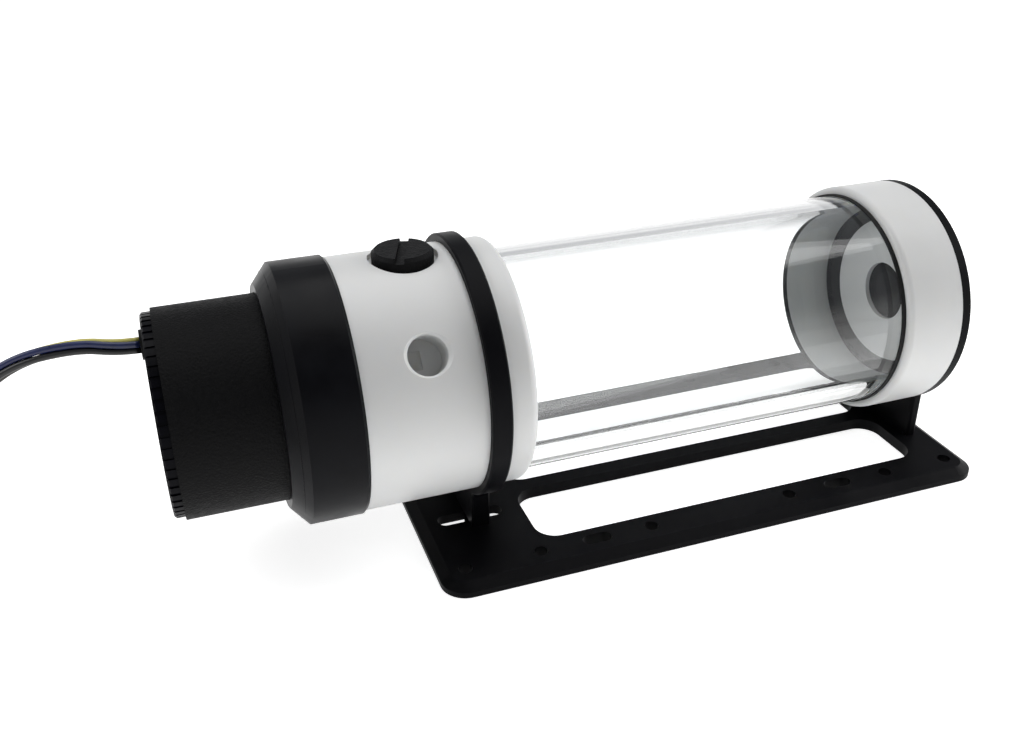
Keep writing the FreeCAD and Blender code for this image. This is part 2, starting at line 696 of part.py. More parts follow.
def plate_screw(station, y, radius, head_radius, head_height):
    """A screw from below with its head sunk in the plate's underside."""
    underside = SCREW_SINK - head_height
    head = post(head_radius, underside, SCREW_SINK, station, y)
    shank = post(radius, SCREW_SINK, SCREW_SINK + FOOT_SCREW_LENGTH, station, y)
    key = post(KEY_RADIUS, underside - OVERCUT, underside + KEY_DEPTH, station, y)
    return joined([head, shank]).cut(key)


def make_clamp_ring_screws():
    size = (M4_RADIUS, M4_HEAD_RADIUS, M4_HEAD_HEIGHT)
    places = (-FOOT_SLOT_OFFSET, FOOT_SLOT_OFFSET)
    return Part.makeCompound([plate_screw(RING_MIDDLE, y, *size) for y in places])


def make_end_leg_foot_screws():
    size = (M3_RADIUS, M3_HEAD_RADIUS, M3_HEAD_HEIGHT)
    places = (-LEG_SCREW_SPREAD, LEG_SCREW_SPREAD)
    return Part.makeCompound([plate_screw(LEG_MIDDLE, y, *size) for y in places])


def plate_layer(inset, low, high):
    return rounded_block(
        PLATE_LEFT_STATION + inset, PLATE_END - inset, inset - PLATE_HALF_WIDTH, PLATE_HALF_WIDTH - inset,
        low, high, PLATE_CORNER - inset)


def top_wire(shape):
    top = max(shape.Faces, key=lambda face: face.CenterOfMass.z)
    return top.OuterWire


def make_plate_blank():
    """The plate's outline with its bevelled upper edge."""
    side = plate_layer(0, 0, PLATE_SIDE)
    crown = plate_layer(PLATE_BEVEL_RUN, PLATE_SIDE, PLATE_THICKNESS)
    bevel = Part.makeLoft([top_wire(side), top_wire(crown)], True, True)
    return joined([side, bevel])


def window_cutter(side):
    near, far = sorted((side * WINDOW_INNER, side * WINDOW_OUTER))
    top = PLATE_THICKNESS + OVERCUT
    return rounded_block(WINDOW_LEFT_STATION, WINDOW_RIGHT_STATION, near, far, -OVERCUT, top, WINDOW_CORNER)


def foot_slot_cutters(side):
    """The clamp ring's adjusting slot, and the wider recess under it that hides the screw head."""
    y = side * FOOT_SLOT_OFFSET
    head_room = M4_HEAD_RADIUS + SLIP
    margin = head_room - FOOT_SLOT_WIDTH / 2
    top = PLATE_THICKNESS + OVERCUT
    slot = oblong(FOOT_SLOT_LEFT, FOOT_SLOT_RIGHT, FOOT_SLOT_WIDTH, y, -OVERCUT, top)
    recess = oblong(FOOT_SLOT_LEFT - margin, FOOT_SLOT_RIGHT + margin, 2 * head_room, y, -OVERCUT, SCREW_SINK)
    return [slot, recess]


def plate_hole_cutters(side):
    top = PLATE_THICKNESS + OVERCUT
    y = side * HOLE_ROW
    cutters = []
    for spacing in HOLE_SPACINGS:
        for station in (PLATE_CENTRE - spacing / 2, PLATE_CENTRE + spacing / 2):
            cutters.append(post(HOLE_RADIUS, -OVERCUT, top, station, y))
    for middle in (PLATE_CENTRE - OBLONG_SPACING / 2, PLATE_CENTRE + OBLONG_SPACING / 2):
        half = OBLONG_LENGTH / 2
        cutters.append(oblong(middle - half, middle + half, OBLONG_WIDTH, y, -OVERCUT, top))
    screw_y = side * LEG_SCREW_SPREAD
    cutters.append(post(M3_RADIUS + SEAT_GAP, -OVERCUT, top, LEG_MIDDLE, screw_y))
    cutters.append(post(M3_HEAD_RADIUS + SLIP, -OVERCUT, SCREW_SINK, LEG_MIDDLE, screw_y))
    return cutters


def make_base_plate():
    plate = make_plate_blank()
    for side in (-1, 1):
        plate = cut_all(plate, [window_cutter(side)] + foot_slot_cutters(side) + plate_hole_cutters(side))
    return plate


# Leads


def make_grommet():
    """Rubber bush in the rear cover that the leads come out of."""
    flange = lead_exit_rod(-GROMMET_PROUD, 0, GROMMET_RADIUS)
    neck = lead_exit_rod(0, COVER_LENGTH, GROMMET_RADIUS - GROMMET_RIM - SEAT_GAP)
    return joined([flange, neck])


def rounded_path(points):
    """Straight runs joined by tangent arcs, each as large as its two runs allow."""
    edges = []
    here = points[0]
    for before, corner, after in zip(points, points[1:], points[2:]):
        back = before.sub(corner)
        ahead = after.sub(corner)
        half_turn = (math.pi - back.getAngle(ahead)) / 2
        reach = 0.45 * min(back.Length, ahead.Length)
        radius = reach / math.tan(half_turn)
        print("lead bend radius", round(radius, 1))
        back.normalize()
        ahead.normalize()
        start = corner + back * reach
        end = corner + ahead * reach
        inward = (back + ahead).normalize()
        middle = corner + inward * (radius / math.cos(half_turn) - radius)
        edges.append(Part.LineSegment(here, start).toShape())
        edges.append(Part.Arc(start, middle, end).toShape())
        here = end
    edges.append(Part.LineSegment(here, points[-1]).toShape())
    return Part.Wire(edges)


def make_lead_bundle():
    exit_points = [(-GROMMET_PROUD, LEAD_EXIT_Y, LEAD_EXIT_Z), (-LEAD_STRAIGHT, LEAD_EXIT_Y, LEAD_EXIT_Z)]
    points = [at(*point) for point in exit_points + list(BUNDLE_ROUTE)]
    path = rounded_path(points)
    section = Part.Wire(Part.makeCircle(BUNDLE_DIAMETER / 2, points[0], points[1] - points[0]))
    tube = path.makePipeShell([section], True, False)
    plain_volume = math.pi * BUNDLE_DIAMETER ** 2 / 4 * path.Length
    print("lead bundle length", round(path.Length, 1), "volume ratio", round(tube.Volume / plain_volume, 4))
    return tube


def coil_centre():
    station, y, _ = BUNDLE_ROUTE[-1]
    return station - COIL_ARRIVAL, y - COIL_RADIUS


def make_lead_coil():
    """Outer shape of the spare length, wound in two layers, with the stretches that arrive and leave."""
    station, y = coil_centre()
    half = BUNDLE_DIAMETER / 2
    ring = post(COIL_RADIUS + half, COIL_BASE, COIL_TOP, station, y)
    ring = ring.cut(post(COIL_RADIUS - half, COIL_BASE - OVERCUT, COIL_TOP + OVERCUT, station, y))
    arrival = rod(station, station + COIL_ARRIVAL, half, y + COIL_RADIUS, BUNDLE_ROUTE[-1][2])
    departure = rod(station, station + COIL_DEPARTURE, half, y - COIL_RADIUS, LOWER_TURN_Z)
    return joined([ring, arrival, departure])


def make_lead_tie():
    """Band round both layers of the coil, on the side away from the pump."""
    station, y = coil_centre()
    inner = BUNDLE_DIAMETER / 2 + SEAT_GAP
    outer = inner + TIE_THICKNESS
    middle = station - COIL_RADIUS
    half_width = TIE_WIDTH / 2
    band = block(middle - outer, middle + outer, y - half_width, y + half_width, 0, COIL_TOP + TIE_THICKNESS)
    hole = block(middle - inner, middle + inner, y - TIE_WIDTH, y + TIE_WIDTH, COIL_BASE, COIL_TOP + SEAT_GAP)
    return band.cut(hole)


def make_lead_boot():
    station, y = coil_centre()
    start = station + COIL_DEPARTURE
    return rod(start, start + BOOT_LENGTH, BUNDLE_DIAMETER / 2 + BOOT_WALL, y - COIL_RADIUS, LOWER_TURN_Z)


def make_lead_plug():
    """Four-way power plug: a keyed block with a row of sockets in its front."""
    station, y = coil_centre()
    start = station + COIL_DEPARTURE + BOOT_LENGTH
    end = start + LEAD_PLUG_LENGTH
    middle = y - COIL_RADIUS
    low = LOWER_TURN_Z - LEAD_PLUG_HEIGHT / 2
    high = low + LEAD_PLUG_HEIGHT
    body = block(start, end, middle - LEAD_PLUG_WIDTH / 2, middle + LEAD_PLUG_WIDTH / 2, low, high)
    boxes = [(edge, edge.BoundBox) for edge in body.Edges]
    top_edges = [edge for edge, box in boxes if box.ZMin > high - 0.01 and box.YLength < 0.01]
    body = body.makeChamfer(LEAD_PLUG_KEY, top_edges)
    row_start = middle - LEAD_PLUG_PITCH * (LEAD_PLUG_WAYS - 1) / 2
    ways = [row_start + LEAD_PLUG_PITCH * i for i in range(LEAD_PLUG_WAYS)]
    floor = end - LEAD_SOCKET_DEPTH
    sockets = [rod(floor, end + OVERCUT, LEAD_SOCKET_RADIUS, way, LOWER_TURN_Z) for way in ways]
    return cut_all(body, sockets)


def make_all():
    stop_shank = END_PLATE_THICKNESS + END_BOSS_HEIGHT
    return {
        "pump_rear_cover": make_rear_cover(),
        "pump_sleeve": make_sleeve(),
        "motor_housing": make_motor_housing(),
        "motor_stator": make_stator(),
        "motor_windings": make_windings(),
        "motor_circuit_board": make_circuit_board(),
        "bearing_ball_post": make_ball_post(),
        "impeller": make_impeller(),
        "rotor_magnet": make_magnet(),
        "pump_flange_seal": o_ring(NECK_START + SEAL_CORD / 2, FLANGE_SEAL_RADIUS),
        "screw_collar": make_collar(),
        "volute_insert": make_volute_insert(),
        "pump_body": make_pump_body(),
        "tube_base": make_tube_base(),
        "fill_plug": in_fill_port(make_plug(PLUG_SHANK_LENGTH)),
        "fill_plug_seal": in_fill_port(make_plug_seal()),
        "tube_base_seal": make_tube_seal(),
        "glass_tube": make_glass_tube(),
        "end_cap": make_end_cap(),
        "cap_mouth_seal": make_mouth_seal(),
        "cap_seal": make_cap_seal(),
        "end_plate_seal": make_end_seal(),
        "stop_plug": in_end_cap(make_plug(stop_shank)),
        "stop_plug_seal": in_end_cap(make_plug_seal()),
        "end_plate": make_end_plate(),
        "end_plate_screws": make_end_plate_screws(),
        "clamp_ring": make_clamp_ring(),
        "clamp_ring_screws": make_clamp_ring_screws(),
        "end_leg": make_end_leg(),
        "end_leg_screws": make_end_leg_screws(),
        "end_leg_foot_screws": make_end_leg_foot_screws(),
        "base_plate": make_base_plate(),
        "lead_grommet": make_grommet(),
        "lead_bundle": make_lead_bundle(),
        "lead_coil": make_lead_coil(),
        "lead_tie": make_lead_tie(),
        "lead_boot": make_lead_boot(),
        "lead_plug": make_lead_plug(),
    }


for name, shape in make_all().items():
    shape.exportStep("parts/" + name + ".step")
    box = shape.BoundBox
    print(name, "solids", len(shape.Solids), "valid", shape.isValid(), "volume", round(shape.Volume))
    print("    x", round(box.XMin, 2), round(box.XMax, 2), "y", round(box.YMin, 2), round(box.YMax, 2),
          "z", round(box.ZMin, 2), round(box.ZMax, 2))
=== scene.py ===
"""Looks of the coolant pump reservoir: camera, studio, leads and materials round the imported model.

Metres, in the model's own frame. Places along the tube are stations from the pump's rear face.
"""
import math
import bmesh
import bpy
from mathutils import Matrix, Quaternion, Vector


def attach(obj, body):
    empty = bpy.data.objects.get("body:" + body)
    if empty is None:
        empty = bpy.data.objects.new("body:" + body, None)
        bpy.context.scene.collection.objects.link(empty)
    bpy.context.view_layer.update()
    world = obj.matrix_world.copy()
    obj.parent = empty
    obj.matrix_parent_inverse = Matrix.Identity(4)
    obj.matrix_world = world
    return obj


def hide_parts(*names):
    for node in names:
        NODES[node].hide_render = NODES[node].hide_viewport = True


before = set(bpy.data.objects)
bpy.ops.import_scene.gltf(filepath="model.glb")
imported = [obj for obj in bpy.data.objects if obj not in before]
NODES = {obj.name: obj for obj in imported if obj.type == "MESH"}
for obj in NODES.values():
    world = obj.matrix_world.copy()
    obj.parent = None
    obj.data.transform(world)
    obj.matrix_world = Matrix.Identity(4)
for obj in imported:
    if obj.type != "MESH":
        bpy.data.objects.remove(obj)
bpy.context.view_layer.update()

ORIGIN_STATION = 0.12975

# Camera, worked out from the photograph
CAMERA_PLACE = (-0.1215, -0.2813, 0.2083)
CAMERA_TARGET = (-0.0233, 0.0, 0.0488)
CAMERA_ROLL = -0.011
CAMERA_LENS = 37.87
CAMERA_CLIP_START = 0.01

# Studio: a white floor that glows a little less near the object, and white surroundings that turn grey above
FLOOR_SIZE = 8.0
FLOOR_DROP = 0.0002
FLOOR_COLOUR = (0.80, 0.80, 0.80, 1.0)
FLOOR_GLOW_NEAR = 0.86
FLOOR_GLOW_FAR = 1.0
GLOW_REACH = (0.22, 0.75)
WORLD_LIGHT = 0.10
WHITE = (1.0, 1.0, 1.0, 1.0)
WHITE_UP_TO = 0.08
GREY_FROM = 0.35
WALL_GREY = (0.30, 0.31, 0.33, 1.0)

# Lamps: place, target, size and power. The table light lies on the floor in front of the object, and no gloss
# shows it.
STUDIO_MIDDLE = (0.0, 0.0, 0.04)
LAMPS = {
    "top_softbox": ((0.12, 0.10, 0.75), STUDIO_MIDDLE, (0.90, 0.50), 3.3),
    "front_softbox": ((-0.45, -0.75, 0.55), STUDIO_MIDDLE, (0.60, 0.60), 0.15),
    "left_softbox": ((-0.55, 0.10, 0.52), STUDIO_MIDDLE, (0.40, 0.30), 1.4),
    "right_softbox": ((0.70, -0.12, 0.30), STUDIO_MIDDLE, (0.40, 0.40), 2.8),
    "table_light": ((0.0, -0.11, 0.004), (0.0, -0.11, 0.5), (0.60, 0.10), 0.28),
}
NOT_IN_GLOSS = ("table_light",)

# Coats: dark and light colour, roughness, specular level, scale and depth of the grain, and where they aren't
# the usual ones, the scale of the mottle and the grain's stretch along each axis
TURNED_LINES = (12.0, 0.4, 0.4)
COATS = {
    "white_acetal": (
        (0.76, 0.765, 0.76), (0.81, 0.815, 0.81), 0.36, 0.4, 700.0, 0.000006, 25.0, TURNED_LINES),
    "black_gloss": ((0.001, 0.001, 0.002), (0.002, 0.002, 0.004), 0.34, 0.06, 1500.0, 0.00001),
    "black_sleeve": ((0.001, 0.001, 0.0012), (0.004, 0.004, 0.0043), 0.58, 0.09, 1500.0, 0.00030, 700.0),
    "black_coat": ((0.003, 0.003, 0.004), (0.006, 0.006, 0.007), 0.42, 0.05, 5200.0, 0.00001),
    "black_collar": (
        (0.002, 0.002, 0.0028), (0.004, 0.0042, 0.0056), 0.36, 0.08, 700.0, 0.000006, 90.0, TURNED_LINES),
    "black_plug": ((0.002, 0.002, 0.0025), (0.006, 0.006, 0.0065), 0.5, 0.08, 1800.0, 0.00015, 700.0),
    "black_rubber": ((0.006, 0.006, 0.006), (0.012, 0.012, 0.012), 0.5, 0.15, 3000.0, 0.00001),
    "motor_plastic": ((0.012, 0.012, 0.014), (0.024, 0.024, 0.027), 0.45, 0.4, 2500.0, 0.00002),
    "board": ((0.01, 0.08, 0.03), (0.02, 0.13, 0.05), 0.3, 0.5, 1800.0, 0.00001),
}
USUAL_MOTTLE = 60.0
COAT_GLOSS_SPREAD = 0.08
COAT_GRAIN_DETAIL = 3.0
NOISE_LOW, NOISE_HIGH = 0.3, 0.7
NOISE_DETAIL = 4.0
NO_STRETCH = (1.0, 1.0, 1.0)
USUAL_SPECULAR = 0.5

# Metals: colour, roughness and the stretch of their fine lines along each axis
METALS = {
    "core_steel": ((0.52, 0.52, 0.53), 0.32, (0.2, 1.0, 1.0)),
    "screw_steel": ((0.07, 0.07, 0.075), 0.38, (1.0, 1.0, 0.2)),
    "copper": ((0.72, 0.36, 0.18), 0.30, (1.0, 0.2, 1.0)),
}
METAL_LINE_SCALE = 900.0
METAL_LINE_DEPTH = 0.00001
METAL_DARK_SHARE = 0.85
METAL_GLOSS_SPREAD = 0.06

# Acetal lets a little light in, and glass lets light through to what is behind it
ACETAL_SCATTER = 0.2
ACETAL_SCATTER_COLOURS = (1.0, 0.9, 0.75)
ACETAL_SCATTER_DEPTH = 0.003
GLASS_IOR = 1.47
GLASS_STREAKS = (14.0, 2.0, (0.15, 1.0, 1.0))
GLASS_TONES = ((0.975, 0.985, 0.985), (0.99, 0.995, 0.995))
GLASS_PASSES = (0.94, 0.95, 0.95, 1.0)

# The nodes that each finish is for
FINISHED_NODES = {
    "white_acetal": ("pump_body", "tube_base", "volute_insert", "end_cap"),
    "black_gloss": ("pump_rear_cover",),
    "black_sleeve": ("pump_sleeve",),
    "black_coat": ("clamp_ring", "end_plate", "end_leg", "base_plate"),
    "black_collar": ("screw_collar", "stop_plug"),
    "black_plug": ("fill_plug",),
    "clear_glass": ("glass_tube",),
    "black_rubber": (
        "pump_flange_seal", "fill_plug_seal", "tube_base_seal", "cap_mouth_seal", "cap_seal",
        "end_plate_seal", "stop_plug_seal", "lead_grommet", "lead_boot"),
    "motor_plastic": ("motor_housing", "impeller", "lead_plug", "lead_tie"),
    "core_steel": ("motor_stator", "rotor_magnet", "bearing_ball_post"),
    "copper": ("motor_windings",),
    "board": ("motor_circuit_board",),
    "screw_steel": ("end_plate_screws", "clamp_ring_screws", "end_leg_screws", "end_leg_foot_screws"),
}

# Fill plug: its place along the tube, the turn of its slot, and the lift of the head's upper part
FILL_PLUG_STATION = 0.0736
FILL_PLUG_TURN = -19.0
FILL_PLUG_UPPER_PART = 0.0020
FILL_PLUG_LIFT = 0.0006

# Leads: the route's points from the rear cover to the coil, then the coil, which steps down to its lower
# turn between two angles, and the wires, laid round the bundle's middle
LEAD_ROUTE = (
    (-0.0012, 0.012, 0.0705), (-0.007, 0.012, 0.0705), (-0.018, 0.013, 0.073), (-0.037, 0.0145, 0.070),
    (-0.052, 0.016, 0.057), (-0.059, 0.017, 0.039), (-0.066, 0.0175, 0.022), (-0.078, 0.018, 0.0125),
    (-0.092, 0.018, 0.008), (-0.106, 0.018, 0.0083),
)
COIL_CENTRE = (-0.124, -0.010)
COIL_RADIUS = 0.028
COIL_TURNS = 1.5
COIL_POINTS = 16
COIL_UPPER_Z = 0.0083
COIL_LOWER_Z = 0.0033
COIL_STEP_DOWN = (195.0, 255.0)
COIL_START_ANGLE = 90.0
LEAD_END = (-0.104, -0.038, 0.0033)
ROUTE_RESOLUTION = 16
WIRE_RADIUS = 0.00098
WIRE_LAY_RADIUS = 0.00142
WIRE_TWIST = 1150.0
WIRE_SIDES = 14
WIRE_SPACING = 0.0016
WIRE_START_ANGLES = (125.0, 35.0, 305.0, 215.0)

# The wires' dark and light colours: yellow, dark blue, black and a warmer black, and the finish they share
WIRE_TONES = {
    "wire_yellow": ((0.55, 0.50, 0.10), (0.70, 0.65, 0.18)),
    "wire_blue": ((0.010, 0.016, 0.075), (0.016, 0.026, 0.11)),
    "wire_black": ((0.006, 0.006, 0.006), (0.012, 0.012, 0.012)),
    "wire_brown": ((0.012, 0.010, 0.007), (0.022, 0.018, 0.012)),
}
WIRE_FINISH = (0.34, 0.5, 3500.0, 0.00001, 200.0)


def at(station, y, z):
    return Vector((station - ORIGIN_STATION, y, z))


def link(obj):
    bpy.context.scene.collection.objects.link(obj)
    return obj


def mesh_object(name, mesh_tool, smooth=True):
    """An object from a bmesh, which is used up."""
    mesh = bpy.data.meshes.new(name)
    mesh_tool.to_mesh(mesh)
    mesh_tool.free()
    mesh.polygons.foreach_set("use_smooth", [smooth] * len(mesh.polygons))
    return link(bpy.data.objects.new(name, mesh))


# Camera and studio


def make_camera():
    place = Vector(CAMERA_PLACE)
    camera = link(bpy.data.objects.new("camera", bpy.data.cameras.new("camera")))
    camera.data.lens = CAMERA_LENS
    camera.data.clip_start = CAMERA_CLIP_START
    camera.location = place
    camera.rotation_mode = "QUATERNION"
    facing = (place - Vector(CAMERA_TARGET)).to_track_quat("Z", "Y")
    camera.rotation_quaternion = facing @ Quaternion((0, 0, 1), CAMERA_ROLL)
    bpy.context.scene.camera = camera


def seen_ray(nodes, links):
    """A value that is 1 for what the camera sees, straight or in gloss and glass."""
    path = nodes.new("ShaderNodeLightPath")
    total = path.outputs["Is Camera Ray"]
    for name in ("Is Glossy Ray", "Is Transmission Ray"):
        add = nodes.new("ShaderNodeMath")
        add.operation = "MAXIMUM"
        links.new(total, add.inputs[0])
        links.new(path.outputs[name], add.inputs[1])
        total = add.outputs[0]
    return total


def make_floor():
    tool = bmesh.new()
    bmesh.ops.create_grid(tool, x_segments=1, y_segments=1, size=FLOOR_SIZE / 2)
    floor = mesh_object("floor", tool, smooth=False)
    floor.location.z = -FLOOR_DROP
    material = bpy.data.materials.new("floor")
    material.use_nodes = True
    nodes, links = material.node_tree.nodes, material.node_tree.links
    nodes.clear()
    diffuse = nodes.new("ShaderNodeBsdfDiffuse")
    diffuse.inputs["Color"].default_value = FLOOR_COLOUR
    place = nodes.new("ShaderNodeTexCoord")
    distance = nodes.new("ShaderNodeVectorMath")
    distance.operation = "LENGTH"
    links.new(place.outputs["Object"], distance.inputs[0])
    spread = nodes.new("ShaderNodeMapRange")
    spread.interpolation_type = "SMOOTHSTEP"
    spread.inputs["From Min"].default_value, spread.inputs["From Max"].default_value = GLOW_REACH
    spread.inputs["To Min"].default_value = FLOOR_GLOW_NEAR
    spread.inputs["To Max"].default_value = FLOOR_GLOW_FAR
    links.new(distance.outputs["Value"], spread.inputs["Value"])
    glow = nodes.new("ShaderNodeEmission")
    strength = nodes.new("ShaderNodeMath")
    strength.operation = "MULTIPLY"
    links.new(seen_ray(nodes, links), strength.inputs[0])
    links.new(spread.outputs["Result"], strength.inputs[1])
    links.new(strength.outputs[0], glow.inputs["Strength"])
    both = nodes.new("ShaderNodeAddShader")
    links.new(diffuse.outputs[0], both.inputs[0])
    links.new(glow.outputs[0], both.inputs[1])
    output = nodes.new("ShaderNodeOutputMaterial")
    links.new(both.outputs[0], output.inputs["Surface"])
    floor.data.materials.append(material)


def make_world():
    """Pale surroundings: white round the horizon and below, greyer above, where the studio's walls are."""
    world = bpy.data.worlds.new("studio")
    bpy.context.scene.world = world
    world.use_nodes = True
    nodes, links = world.node_tree.nodes, world.node_tree.links
    nodes.clear()
    place = nodes.new("ShaderNodeTexCoord")
    split = nodes.new("ShaderNodeSeparateXYZ")
    links.new(place.outputs["Generated"], split.inputs[0])
    ramp = nodes.new("ShaderNodeValToRGB")
    stops = ramp.color_ramp.elements
    stops[0].position = WHITE_UP_TO
    stops[0].color = WHITE
    stops[1].position = GREY_FROM
    stops[1].color = WALL_GREY
    links.new(split.outputs["Z"], ramp.inputs[0])
    strength = nodes.new("ShaderNodeMapRange")
    strength.inputs["To Min"].default_value = WORLD_LIGHT
    strength.inputs["To Max"].default_value = 1.0
    links.new(seen_ray(nodes, links), strength.inputs["Value"])
    background = nodes.new("ShaderNodeBackground")
    links.new(ramp.outputs[0], background.inputs["Color"])
    links.new(strength.outputs[0], background.inputs["Strength"])
    output = nodes.new("ShaderNodeOutputWorld")
    links.new(background.outputs[0], output.inputs["Surface"])


def make_lamp(name, place, target, size, power):
    data = bpy.data.lights.new(name, "AREA")
    data.shape = "RECTANGLE"
    data.size, data.size_y = size
    data.energy = power
    lamp = link(bpy.data.objects.new(name, data))
    lamp.visible_camera = False
    lamp.location = place
    lamp.rotation_mode = "QUATERNION"
    lamp.rotation_quaternion = (Vector(place) - Vector(target)).to_track_quat("Z", "Y")
    return lamp


def make_studio():
    make_floor()
    make_world()
    for name, numbers in LAMPS.items():
        lamp = make_lamp(name, *numbers)
        lamp.visible_glossy = name not in NOT_IN_GLOSS


# Materials


def new_principled(name, roughness, specular, metallic=0.0):
    material = bpy.data.materials.new(name)
    material.use_nodes = True
    nodes = material.node_tree.nodes
    shader = nodes["Principled BSDF"]
    shader.inputs["Roughness"].default_value = roughness
    shader.inputs["Specular IOR Level"].default_value = specular
    shader.inputs["Metallic"].default_value = metallic
    return material, nodes, material.node_tree.links, shader


def own_place(nodes, links, stretch):
    """The place on the object in metres, stretched along each axis."""
    place = nodes.new("ShaderNodeTexCoord")
    mapping = nodes.new("ShaderNodeMapping")
    mapping.inputs["Scale"].default_value = stretch
    links.new(place.outputs["Object"], mapping.inputs["Vector"])
    return mapping.outputs["Vector"]


def noise_value(nodes, links, scale, detail=NOISE_DETAIL, stretch=NO_STRETCH):
    noise = nodes.new("ShaderNodeTexNoise")
    noise.inputs["Scale"].default_value = scale
    noise.inputs["Detail"].default_value = detail
    links.new(own_place(nodes, links, stretch), noise.inputs["Vector"])
    return noise.outputs["Fac"]


def between(nodes, links, value, low, high):
    """A value from noise spread between two numbers."""
    spread = nodes.new("ShaderNodeMapRange")
    spread.inputs["From Min"].default_value = NOISE_LOW
    spread.inputs["From Max"].default_value = NOISE_HIGH
    spread.inputs["To Min"].default_value = low
    spread.inputs["To Max"].default_value = high
    links.new(value, spread.inputs["Value"])
    return spread.outputs["Result"]


def two_tone(nodes, links, value, dark, light):
    ramp = nodes.new("ShaderNodeValToRGB")
    stops = ramp.color_ramp.elements
    stops[0].position = NOISE_LOW
    stops[0].color = (*dark, 1.0)
    stops[1].position = NOISE_HIGH
    stops[1].color = (*light, 1.0)
    links.new(value, ramp.inputs[0])
    return ramp.outputs[0]


def add_bump(nodes, links, shader, height, distance):
    bump = nodes.new("ShaderNodeBump")
    bump.inputs["Distance"].default_value = distance
    links.new(height, bump.inputs["Height"])
    links.new(bump.outputs["Normal"], shader.inputs["Normal"])


def coated(
        name, dark, light, roughness, specular, grain, grain_depth, mottle=USUAL_MOTTLE, stretch=NO_STRETCH):
    """A finish with a slow mottle in colour and gloss and a fine grain in its surface."""
    material, nodes, links, shader = new_principled(name, roughness, specular)
    slow = noise_value(nodes, links, mottle)
    links.new(two_tone(nodes, links, slow, dark, light), shader.inputs["Base Color"])
    gloss = between(nodes, links, slow, roughness - COAT_GLOSS_SPREAD, roughness + COAT_GLOSS_SPREAD)
    links.new(gloss, shader.inputs["Roughness"])
    add_bump(nodes, links, shader, noise_value(nodes, links, grain, COAT_GRAIN_DETAIL, stretch), grain_depth)
    return material


def metal(name, colour, roughness, stretch):
    material, nodes, links, shader = new_principled(name, roughness, USUAL_SPECULAR, metallic=1.0)
    lines = noise_value(nodes, links, METAL_LINE_SCALE, stretch=stretch)
    dark = [METAL_DARK_SHARE * part for part in colour]
    links.new(two_tone(nodes, links, lines, dark, colour), shader.inputs["Base Color"])
    gloss = between(nodes, links, lines, roughness - METAL_GLOSS_SPREAD, roughness + METAL_GLOSS_SPREAD)
    links.new(gloss, shader.inputs["Roughness"])
    add_bump(nodes, links, shader, lines, METAL_LINE_DEPTH)
    return material


def let_light_through(nodes, links, shader):
    """Clear for light that falls through the glass on what is behind it."""
    path = nodes.new("ShaderNodeLightPath")
    either = nodes.new("ShaderNodeMath")
    either.operation = "MAXIMUM"
    links.new(path.outputs["Is Shadow Ray"], either.inputs[0])
    links.new(path.outputs["Is Diffuse Ray"], either.inputs[1])
    clear = nodes.new("ShaderNodeBsdfTransparent")
    clear.inputs["Color"].default_value = GLASS_PASSES
    mix = nodes.new("ShaderNodeMixShader")
    links.new(either.outputs[0], mix.inputs["Fac"])
    links.new(shader.outputs["BSDF"], mix.inputs[1])
    links.new(clear.outputs[0], mix.inputs[2])
    links.new(mix.outputs[0], nodes["Material Output"].inputs["Surface"])


def glass():
    material, nodes, links, shader = new_principled("clear_glass", 0.0, USUAL_SPECULAR)
    shader.inputs["Transmission Weight"].default_value = 1.0
    shader.inputs["IOR"].default_value = GLASS_IOR
    streaks = noise_value(nodes, links, *GLASS_STREAKS)
    links.new(two_tone(nodes, links, streaks, *GLASS_TONES), shader.inputs["Base Color"])
    let_light_through(nodes, links, shader)
    return material


def let_light_in(material):
    """The slight translucence of acetal."""
    shader = material.node_tree.nodes["Principled BSDF"]
    shader.inputs["Subsurface Weight"].default_value = ACETAL_SCATTER
    shader.inputs["Subsurface Radius"].default_value = ACETAL_SCATTER_COLOURS
    shader.inputs["Subsurface Scale"].default_value = ACETAL_SCATTER_DEPTH


def make_materials():
    finishes = {name: coated(name, *numbers) for name, numbers in COATS.items()}
    finishes.update((name, metal(name, *numbers)) for name, numbers in METALS.items())
    finishes["clear_glass"] = glass()
    let_light_in(finishes["white_acetal"])
    for finish, names in FINISHED_NODES.items():
        for name in names:
            for place in NODES[name].material_slots:
                place.material = finishes[finish]


# Fill plug


def make_fill_plug():
    """The fill plug with its slot turned as in the photograph, and its head as high as there."""
    node = NODES["fill_plug"]
    mesh = node.data.copy()
    axis = Vector((FILL_PLUG_STATION - ORIGIN_STATION, 0.0, 0.0))
    turn = Matrix.Rotation(math.radians(FILL_PLUG_TURN), 4, "Z")
    mesh.transform(Matrix.Translation(axis) @ turn @ Matrix.Translation(-axis) @ node.matrix_world)
    top = max(vertex.co.z for vertex in mesh.vertices)
    for vertex in mesh.vertices:
        if vertex.co.z > top - FILL_PLUG_UPPER_PART:
            vertex.co.z += FILL_PLUG_LIFT
    plug = link(bpy.data.objects.new("slotted_fill_plug", mesh))
    mesh.materials.clear()
    mesh.materials.append(node.material_slots[0].material)
    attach(plug, "fill_plug")
    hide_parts("fill_plug")


# Leads


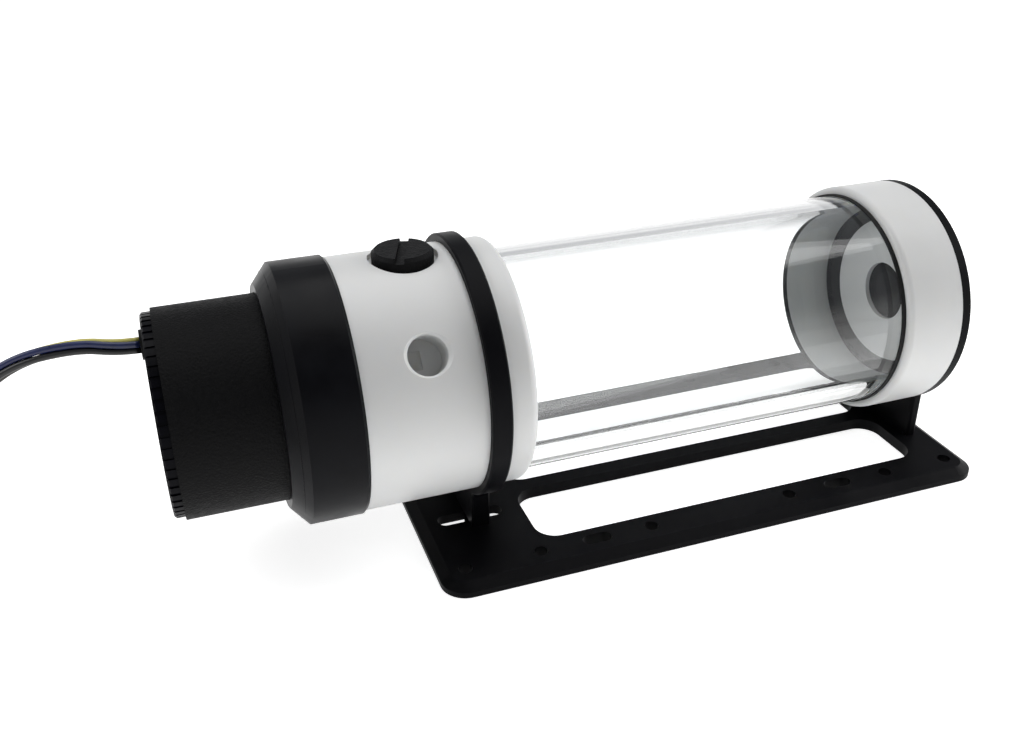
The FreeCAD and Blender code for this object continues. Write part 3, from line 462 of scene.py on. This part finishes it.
def coil_points():
    """The coil's control points, on the polygon whose sides touch the coil's circle."""
    step = 360.0 / COIL_POINTS
    corner_radius = COIL_RADIUS / math.cos(math.radians(step / 2))
    start, end = COIL_STEP_DOWN
    points = []
    for index in range(int(COIL_TURNS * COIL_POINTS)):
        turned = (index + 0.5) * step
        angle = math.radians(COIL_START_ANGLE + turned)
        share = min(1.0, max(0.0, (turned - start) / (end - start)))
        drop = share * share * (3.0 - 2.0 * share)
        z = COIL_UPPER_Z + (COIL_LOWER_Z - COIL_UPPER_Z) * drop
        x = COIL_CENTRE[0] + corner_radius * math.cos(angle)
        points.append(at(x, COIL_CENTRE[1] + corner_radius * math.sin(angle), z))
    return points


def lead_line():
    """Points along the route's smooth curve."""
    controls = [at(*point) for point in LEAD_ROUTE] + coil_points() + [at(*LEAD_END)]
    data = bpy.data.curves.new("lead_route", "CURVE")
    data.dimensions = "3D"
    data.resolution_u = ROUTE_RESOLUTION
    spline = data.splines.new("NURBS")
    spline.points.add(len(controls) - 1)
    for point, place in zip(spline.points, controls):
        point.co = (*place, 1.0)
    spline.order_u = 3
    spline.use_endpoint_u = True
    route = link(bpy.data.objects.new("lead_route", data))
    bpy.context.view_layer.update()
    mesh = bpy.data.meshes.new_from_object(route)
    line = [vertex.co.copy() for vertex in mesh.vertices]
    bpy.data.objects.remove(route)
    return line


def spaced(line, step):
    """The line's points again, a step apart."""
    points = [line[0]]
    left = step
    for before, after in zip(line, line[1:]):
        run = (after - before).length
        while run > 0 and left <= run:
            points.append(before.lerp(after, left / run))
            left += step
        left -= run
    return points


def frames_along(line):
    """Each point of the line with two directions across it that don't turn about it."""
    across = Vector((0.0, -1.0, 0.0))
    frames = []
    for index, point in enumerate(line):
        ahead = (line[min(index + 1, len(line) - 1)] - line[max(index - 1, 0)]).normalized()
        across = (across - ahead * across.dot(ahead)).normalized()
        frames.append((point, across, ahead.cross(across)))
    return frames


def add_wire(tool, frames, start_angle, material_index):
    rings = []
    travelled = 0.0
    centres = []
    for index, (point, across, up) in enumerate(frames):
        if index:
            travelled += (point - frames[index - 1][0]).length
        angle = math.radians(start_angle + WIRE_TWIST * travelled)
        centres.append(point + WIRE_LAY_RADIUS * (across * math.cos(angle) + up * math.sin(angle)))
    for (_, across, up), centre in zip(frames, centres):
        ring = []
        for side in range(WIRE_SIDES):
            angle = 2 * math.pi * side / WIRE_SIDES
            offset = WIRE_RADIUS * (across * math.cos(angle) + up * math.sin(angle))
            ring.append(tool.verts.new(centre + offset))
        rings.append(ring)
    for before, after in zip(rings, rings[1:]):
        for side in range(WIRE_SIDES):
            follow = (side + 1) % WIRE_SIDES
            face = tool.faces.new((before[side], before[follow], after[follow], after[side]))
            face.material_index = material_index
    for ring in (rings[0][::-1], rings[-1]):
        tool.faces.new(ring).material_index = material_index


def make_leads():
    line = spaced(lead_line(), WIRE_SPACING)
    frames = frames_along(line)
    tool = bmesh.new()
    for index, start_angle in enumerate(WIRE_START_ANGLES):
        add_wire(tool, frames, start_angle, index)
    bmesh.ops.recalc_face_normals(tool, faces=tool.faces)
    wires = mesh_object("lead_wires", tool)
    for name, tones in WIRE_TONES.items():
        wires.data.materials.append(coated(name, *tones, *WIRE_FINISH))
    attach(wires, "frame")
    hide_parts("lead_bundle", "lead_coil")


make_camera()
make_leads()
make_materials()
make_fill_plug()
make_studio()

bpy.context.scene.view_settings.view_transform = "Standard"
